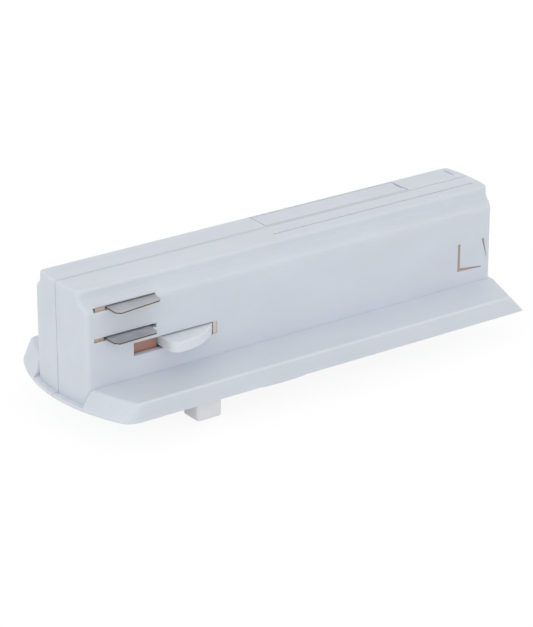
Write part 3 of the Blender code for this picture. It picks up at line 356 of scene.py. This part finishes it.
def apron_tip(label, side):
    """Rest of the inner frame's apron, up to the back of the closed tab."""
    plan = [(LOCK_X + side * x, side * y) for x, y in box(2.65, 3.35, 8.4, 9.4)]
    run(f"inner_frame_apron_tip_{label}", plan, APRON_FOOT, 9.3, frame_brown, "housing")


def slot_end(label, side):
    """Web let into the lock slot's end, hollowed to the circle of the tab's nose."""
    nose = 16.7
    turns = [math.radians(angle) for angle in (40.9, 39.4, 37.9, 36.2)]
    plan = [(nose * math.cos(turn), nose * math.sin(turn)) for turn in turns]
    plan += [(13.95, 9.85), (13.95, 10.94)]
    plan = [(LOCK_X - side * x, side * y) for x, y in plan]
    run(f"lock_slot_web_{label}", plan, 5.5, 9.05, slide_tan, "housing")


def rotor_guard(label, side):
    """Curved wall under the inner frame, just outside the circle that the tabs sweep."""
    inner, outer = 16.9, 17.4
    first, sweep, steps = 5.0, 24.5, 8
    turns = [math.radians(first + sweep * i / steps) for i in range(steps + 1)]
    arc = [(inner, turn) for turn in turns] + [(outer, turn) for turn in reversed(turns)]
    plan = [(LOCK_X - side * r * math.cos(turn), side * r * math.sin(turn)) for r, turn in arc]
    run(f"inner_frame_guard_{label}", plan, APRON_FOOT, 9.2, frame_brown, "housing")


def slit_shade_sheets(label, side):
    """Darker tan sheets let into the slits round the spring tongue: painted shade for the slits'
    shadowed walls.
    """
    back, face = 9.9, 10.8
    slit = [(50.3, 3.9), (58.4, 3.65), (58.4, 4.1), (51.4, 5.05), (51.4, 11.6), (50.3, 11.6)]
    wedge = [(58.1, 11.6), (59.1, 11.6), (60.1, 6.2), (59.75, 6.2)]
    for kind, outline in (("slit", slit), ("wedge", wedge)):
        run(f"tongue_{kind}_web_{label}", outline, side * back, side * face,
            painted_shade_tan, "housing", upright=True)


def slot_nibs(label, side):
    """Nibs that fill the contact slots beside the blades: one on the frame, two on the carriage."""
    half, face = 0.42, 10.85
    carriage = f"{label}_contacts"
    for name, body, left, right, level, root in (
            (f"inner_frame_nib_{label}", "housing", -58.65, -57.28, LOWER_CONTACT, 9.3),
            (f"carriage_nib_{label}_lower", carriage, -57.2, -56.2, LOWER_CONTACT, 9.35),
            (f"carriage_nib_{label}_upper", carriage, -58.4, -55.6, UPPER_CONTACT, 8.2)):
        # Each nib carries the darker tan: painted shade in the slots beside the blades
        run(name, box(left, right, level - half, level + half), side * root, side * face,
            painted_shade_tan, body, upright=True)


def thread_radius(z, share):
    """Radius of the V thread at a height and a share of a turn, turned down at both ends."""
    to_end = min(z - NIPPLE_LOW, NIPPLE_HIGH - z)
    crest = NIPPLE_RADIUS - max(0.0, THREAD_RUN_OUT - to_end)
    phase = (z / THREAD_PITCH - share) % 1.0
    return min(crest, NIPPLE_RADIUS - THREAD_DEPTH * abs(2.0 * phase - 1.0))


def tube_ring(work, radii, z):
    """Ring of points round the nipple's axis, one for each radius."""
    ring = []
    for j, radius in enumerate(radii):
        turn = 2.0 * math.pi * j / len(radii)
        ring.append(work.verts.new(((NIPPLE_X + radius * math.cos(turn)) * MM,
                                    radius * math.sin(turn) * MM, z * MM)))
    return ring


def nipple_thread():
    """Threaded tube in place of the plain one, with a single start and a smooth bore."""
    work = bmesh.new()
    rings = []
    for k in range(THREAD_STEPS + 1):
        z = NIPPLE_LOW + (NIPPLE_HIGH - NIPPLE_LOW) * k / THREAD_STEPS
        radii = [thread_radius(z, j / THREAD_SIDES) for j in range(THREAD_SIDES)]
        rings.append(tube_ring(work, radii, z))
    for z in (NIPPLE_HIGH, NIPPLE_LOW):
        rings.append(tube_ring(work, [NIPPLE_BORE] * THREAD_SIDES, z))
    for k, ring in enumerate(rings):
        above = rings[(k + 1) % len(rings)]
        for j in range(THREAD_SIDES):
            i = (j + 1) % THREAD_SIDES
            face = work.faces.new((ring[j], ring[i], above[i], above[j]))
            face.smooth = k < THREAD_STEPS
    tube = settle(work, "nipple_threaded", plated, "housing")
    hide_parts("nipple")


seam_lips()
nipple_thread()
for label, side in (("near", -1), ("far", 1)):
    apron_tip(label, side)
    slot_end(label, side)
    rotor_guard(label, side)
    slit_shade_sheets(label, side)
    slot_nibs(label, side)


def sees_white(tree):
    """1 for the rays that see the background as white: from the camera, a gloss or a clear face."""
    path = add(tree, "ShaderNodeLightPath")
    seen = path.outputs["Is Camera Ray"]
    for kind in ("Is Glossy Ray", "Is Transmission Ray"):
        either = add(tree, "ShaderNodeMath", operation="MAXIMUM")
        tree.links.new(seen, either.inputs[0])
        tree.links.new(path.outputs[kind], either.inputs[1])
        seen = either.outputs[0]
    return seen


def pale_floor():
    """Pale floor, lifted towards white where it is seen so that only a faint shadow is left."""
    material, tree, shader = new_material("pale_sweep")
    shader.inputs["Base Color"].default_value = FLOOR_COLOUR
    shader.inputs["Roughness"].default_value = 0.9
    glow = add(tree, "ShaderNodeEmission", Strength=FLOOR_GLOW)
    share = add(tree, "ShaderNodeMath", operation="MULTIPLY")
    share.inputs[1].default_value = FLOOR_GLOW_SHARE
    mix = add(tree, "ShaderNodeMixShader")
    tree.links.new(sees_white(tree), share.inputs[0])
    tree.links.new(share.outputs[0], mix.inputs["Fac"])
    tree.links.new(shader.outputs["BSDF"], mix.inputs[1])
    tree.links.new(glow.outputs["Emission"], mix.inputs[2])
    tree.links.new(mix.outputs["Shader"], tree.nodes["Material Output"].inputs["Surface"])
    return material


def lay_floor():
    """Floor at the part's lowest level."""
    low = cad_box[0][2]
    mesh = bpy.data.meshes.new("floor")
    corners = box(-FLOOR_REACH, FLOOR_REACH, -FLOOR_REACH, FLOOR_REACH)
    mesh.from_pydata([(x, y, low) for x, y in corners], [], [(0, 1, 2, 3)])
    mesh.materials.append(pale_floor())
    floor = bpy.data.objects.new("floor", mesh)
    bpy.context.scene.collection.objects.link(floor)


def soft_box(name, place, side, power):
    """Square soft box aimed at the origin."""
    data = bpy.data.lights.new(name, "AREA")
    data.shape = "SQUARE"
    data.size = side
    data.energy = power
    lamp = bpy.data.objects.new(name, data)
    lamp.location = place
    lamp.rotation_euler = (-Vector(place)).to_track_quat("-Z", "Y").to_euler()
    bpy.context.scene.collection.objects.link(lamp)


def studio_world():
    """White surround, dimmer for the light that it casts than for the rays that see it."""
    world = bpy.data.worlds.new("studio")
    world.use_nodes = True
    bpy.context.scene.world = world
    tree = world.node_tree
    cast = tree.nodes["Background"]
    cast.inputs["Color"].default_value = WHITE
    cast.inputs["Strength"].default_value = WORLD_LIGHT
    seen = add(tree, "ShaderNodeBackground", Color=WHITE, Strength=1.0)
    mix = add(tree, "ShaderNodeMixShader")
    tree.links.new(sees_white(tree), mix.inputs["Fac"])
    tree.links.new(cast.outputs["Background"], mix.inputs[1])
    tree.links.new(seen.outputs["Background"], mix.inputs[2])
    tree.links.new(mix.outputs["Shader"], tree.nodes["World Output"].inputs["Surface"])


def fitted_camera():
    """Camera at the photograph's angle."""
    back = Vector((math.cos(ELEVATION) * math.sin(AZIMUTH),
                   -math.cos(ELEVATION) * math.cos(AZIMUTH),
                   math.sin(ELEVATION)))
    right = Vector((math.cos(AZIMUTH), math.sin(AZIMUTH), 0.0))
    turn = Matrix((right, back.cross(right), back)).transposed()
    data = bpy.data.cameras.new("camera")
    data.sensor_width = SENSOR
    data.lens = FOCAL_PIXELS / PICTURE_PIXELS * SENSOR
    data.clip_start = 0.01
    data.clip_end = 20.0
    camera = bpy.data.objects.new("camera", data)
    camera.matrix_world = Matrix.Translation(CAMERA_PLACE) @ turn.to_4x4()
    bpy.context.scene.collection.objects.link(camera)
    bpy.context.scene.camera = camera


lay_floor()
for name, place, side, power in SOFT_BOXES:
    soft_box(name, place, side, power)
studio_world()
fitted_camera()
bpy.context.scene.view_settings.view_transform = "Standard"
